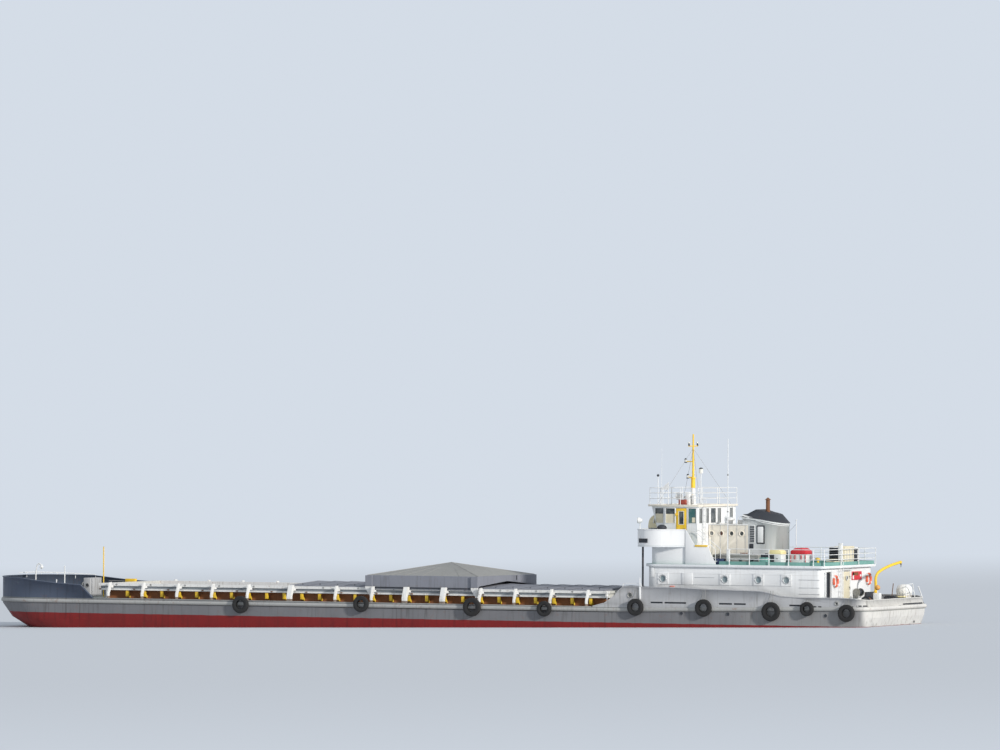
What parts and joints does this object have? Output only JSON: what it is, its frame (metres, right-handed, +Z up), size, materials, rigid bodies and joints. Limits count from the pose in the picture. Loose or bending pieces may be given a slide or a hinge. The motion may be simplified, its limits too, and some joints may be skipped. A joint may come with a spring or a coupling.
{
  "type": "river barge, 1:2 scale model",
  "caption": "Self-propelled river barge: long open hold with sliding hatch covers, house and wheelhouse aft, tyre fenders, twin screws and rudders.",
  "frame": {"origin": "middle of the overall box, on the flat bottom", "axes": "+X forward to the bow, +Y to port, +Z up"},
  "size_m": [30.36, 5.1206, 6.43],
  "materials": {
    "hull_paint": "weathered grey paint over a red lower hull, rust streaks",
    "strake_paint": "scuffed light grey paint",
    "bulwark_paint": "weathered grey paint",
    "coaming_paint": "red-brown primer with rust",
    "beam_paint": "pale paint with rust stains",
    "cover_paint": "matt grey paint",
    "house_paint": "white paint, slightly uneven",
    "casing_paint": "off-white paint, black hood",
    "deck_paint": "matt green deck paint",
    "yellow_paint": "yellow paint",
    "rail_paint": "white paint on pipe",
    "gear_paint": "grey paint",
    "red_cover": "red paint",
    "raft_paint": "cream paint",
    "canvas": "cream canvas cover",
    "bronze": "worn bronze",
    "rudder_steel": "red-brown bottom paint",
    "windlass_paint": "dark paint",
    "windlass_steel": "worn dark steel",
    "tyre_rubber": "weathered black rubber"
  },
  "bodies": {
    "barge": {"hull": "hull_paint", "rubbing_strake": "strake_paint", "bow_bulwark": "bulwark_paint", "aft_bulwark": "bulwark_paint", "aft_bulwark_starboard": "bulwark_paint", "hatch_coaming": "coaming_paint", "coaming_beam_port": "beam_paint", "coaming_beam_starboard": "beam_paint", "deckhouse": "house_paint", "boat_deck": "deck_paint", "bridge_house": "house_paint", "bridge_deck": "deck_paint", "wing_bulwark": "house_paint", "ladder_side_port": "house_paint", "ladder_side_starboard": "house_paint", "aft_cabin": "house_paint", "funnel": "casing_paint", "wheelhouse": "house_paint", "wheelhouse_roof": "house_paint", "roof_railing": "rail_paint", "boat_deck_railing": "rail_paint", "signal_mast": "yellow_paint", "skylight": "gear_paint", "deck_locker": "yellow_paint", "covered_box": "red_cover", "vent_post": "house_paint", "louvre_box": "house_paint", "raft_box": "raft_paint", "davit_base": "house_paint", "stern_capstan": "canvas", "windlass_frame": "windlass_paint", "fore_locker": "gear_paint", "tyre_port_1": "tyre_rubber", "tyre_port_2": "tyre_rubber", "tyre_port_3": "tyre_rubber", "tyre_port_4": "tyre_rubber", "tyre_port_5": "tyre_rubber", "tyre_port_6": "tyre_rubber", "tyre_port_7": "tyre_rubber", "tyre_port_8": "tyre_rubber", "tyre_port_9": "tyre_rubber", "tyre_starboard_1": "tyre_rubber", "tyre_starboard_2": "tyre_rubber", "tyre_starboard_3": "tyre_rubber", "tyre_starboard_5": "tyre_rubber", "tyre_starboard_6": "tyre_rubber", "tyre_starboard_7": "tyre_rubber", "tyre_starboard_9": "tyre_rubber"},
    "tall_cover": {"hatch_cover_tall": "cover_paint"},
    "aft_cover": {"hatch_cover_aft": "cover_paint"},
    "fore_cover": {"hatch_cover_fore": "cover_paint"},
    "port_door": {"wheelhouse_door_port": "yellow_paint"},
    "starboard_door": {"wheelhouse_door_starboard": "yellow_paint"},
    "house_door": {"deckhouse_door": "house_paint"},
    "davit": {"davit_arm": "yellow_paint"},
    "port_screw": {"propeller_port": "bronze"},
    "starboard_screw": {"propeller_starboard": "bronze"},
    "port_rudder": {"rudder_port": "rudder_steel"},
    "starboard_rudder": {"rudder_starboard": "rudder_steel"},
    "windlass_rotor": {"windlass_drum": "windlass_steel"}
  },
  "joints": [
    {"name": "tall_cover_roll", "type": "slide", "parent": "barge", "child": "tall_cover", "axis": [1, 0, 0], "range_m": [-4.2, 9.1]},
    {"name": "aft_cover_slide", "type": "slide", "parent": "barge", "child": "aft_cover", "axis": [1, 0, 0], "range_m": [0, 1.45]},
    {"name": "fore_cover_slide", "type": "slide", "parent": "barge", "child": "fore_cover", "axis": [1, 0, 0], "range_m": [-1.45, 6.4]},
    {"name": "port_door_swing", "type": "hinge", "parent": "barge", "child": "port_door", "pos_m": [-8.475, 1.4343, 3.65], "axis": [0, 0, -1], "range_deg": [0, 100]},
    {"name": "starboard_door_swing", "type": "hinge", "parent": "barge", "child": "starboard_door", "pos_m": [-8.475, -1.4343, 3.65], "axis": [0, 0, 1], "range_deg": [0, 100]},
    {"name": "house_door_swing", "type": "hinge", "parent": "barge", "child": "house_door", "pos_m": [-13.4893, 0.36, 1.875], "axis": [0, 0, -1], "range_deg": [0, 110]},
    {"name": "davit_swing", "type": "hinge", "parent": "barge", "child": "davit", "pos_m": [-14.2, -0.45, 1.7], "axis": [0, 0, 1], "range_deg": [-170, 40]},
    {"name": "port_screw_spin", "type": "hinge", "parent": "barge", "child": "port_screw", "pos_m": [-13.65, 1.05, 0.37], "axis": [1, 0, 0], "continuous": true},
    {"name": "starboard_screw_spin", "type": "hinge", "parent": "barge", "child": "starboard_screw", "pos_m": [-13.65, -1.05, 0.37], "axis": [1, 0, 0], "continuous": true},
    {"name": "port_rudder_turn", "type": "hinge", "parent": "barge", "child": "port_rudder", "pos_m": [-14.175, 1.05, 0.35], "axis": [0, 0, 1], "range_deg": [-35, 35]},
    {"name": "starboard_rudder_turn", "type": "hinge", "parent": "barge", "child": "starboard_rudder", "pos_m": [-14.175, -1.05, 0.35], "axis": [0, 0, 1], "range_deg": [-35, 35]},
    {"name": "windlass_turn", "type": "hinge", "parent": "barge", "child": "windlass_rotor", "pos_m": [13.675, 0, 1.435], "axis": [0, 1, 0], "continuous": true}
  ],
  "couplings": [
    {"joint": "starboard_rudder_turn", "follows": "port_rudder_turn", "ratio": 1}
  ]
}
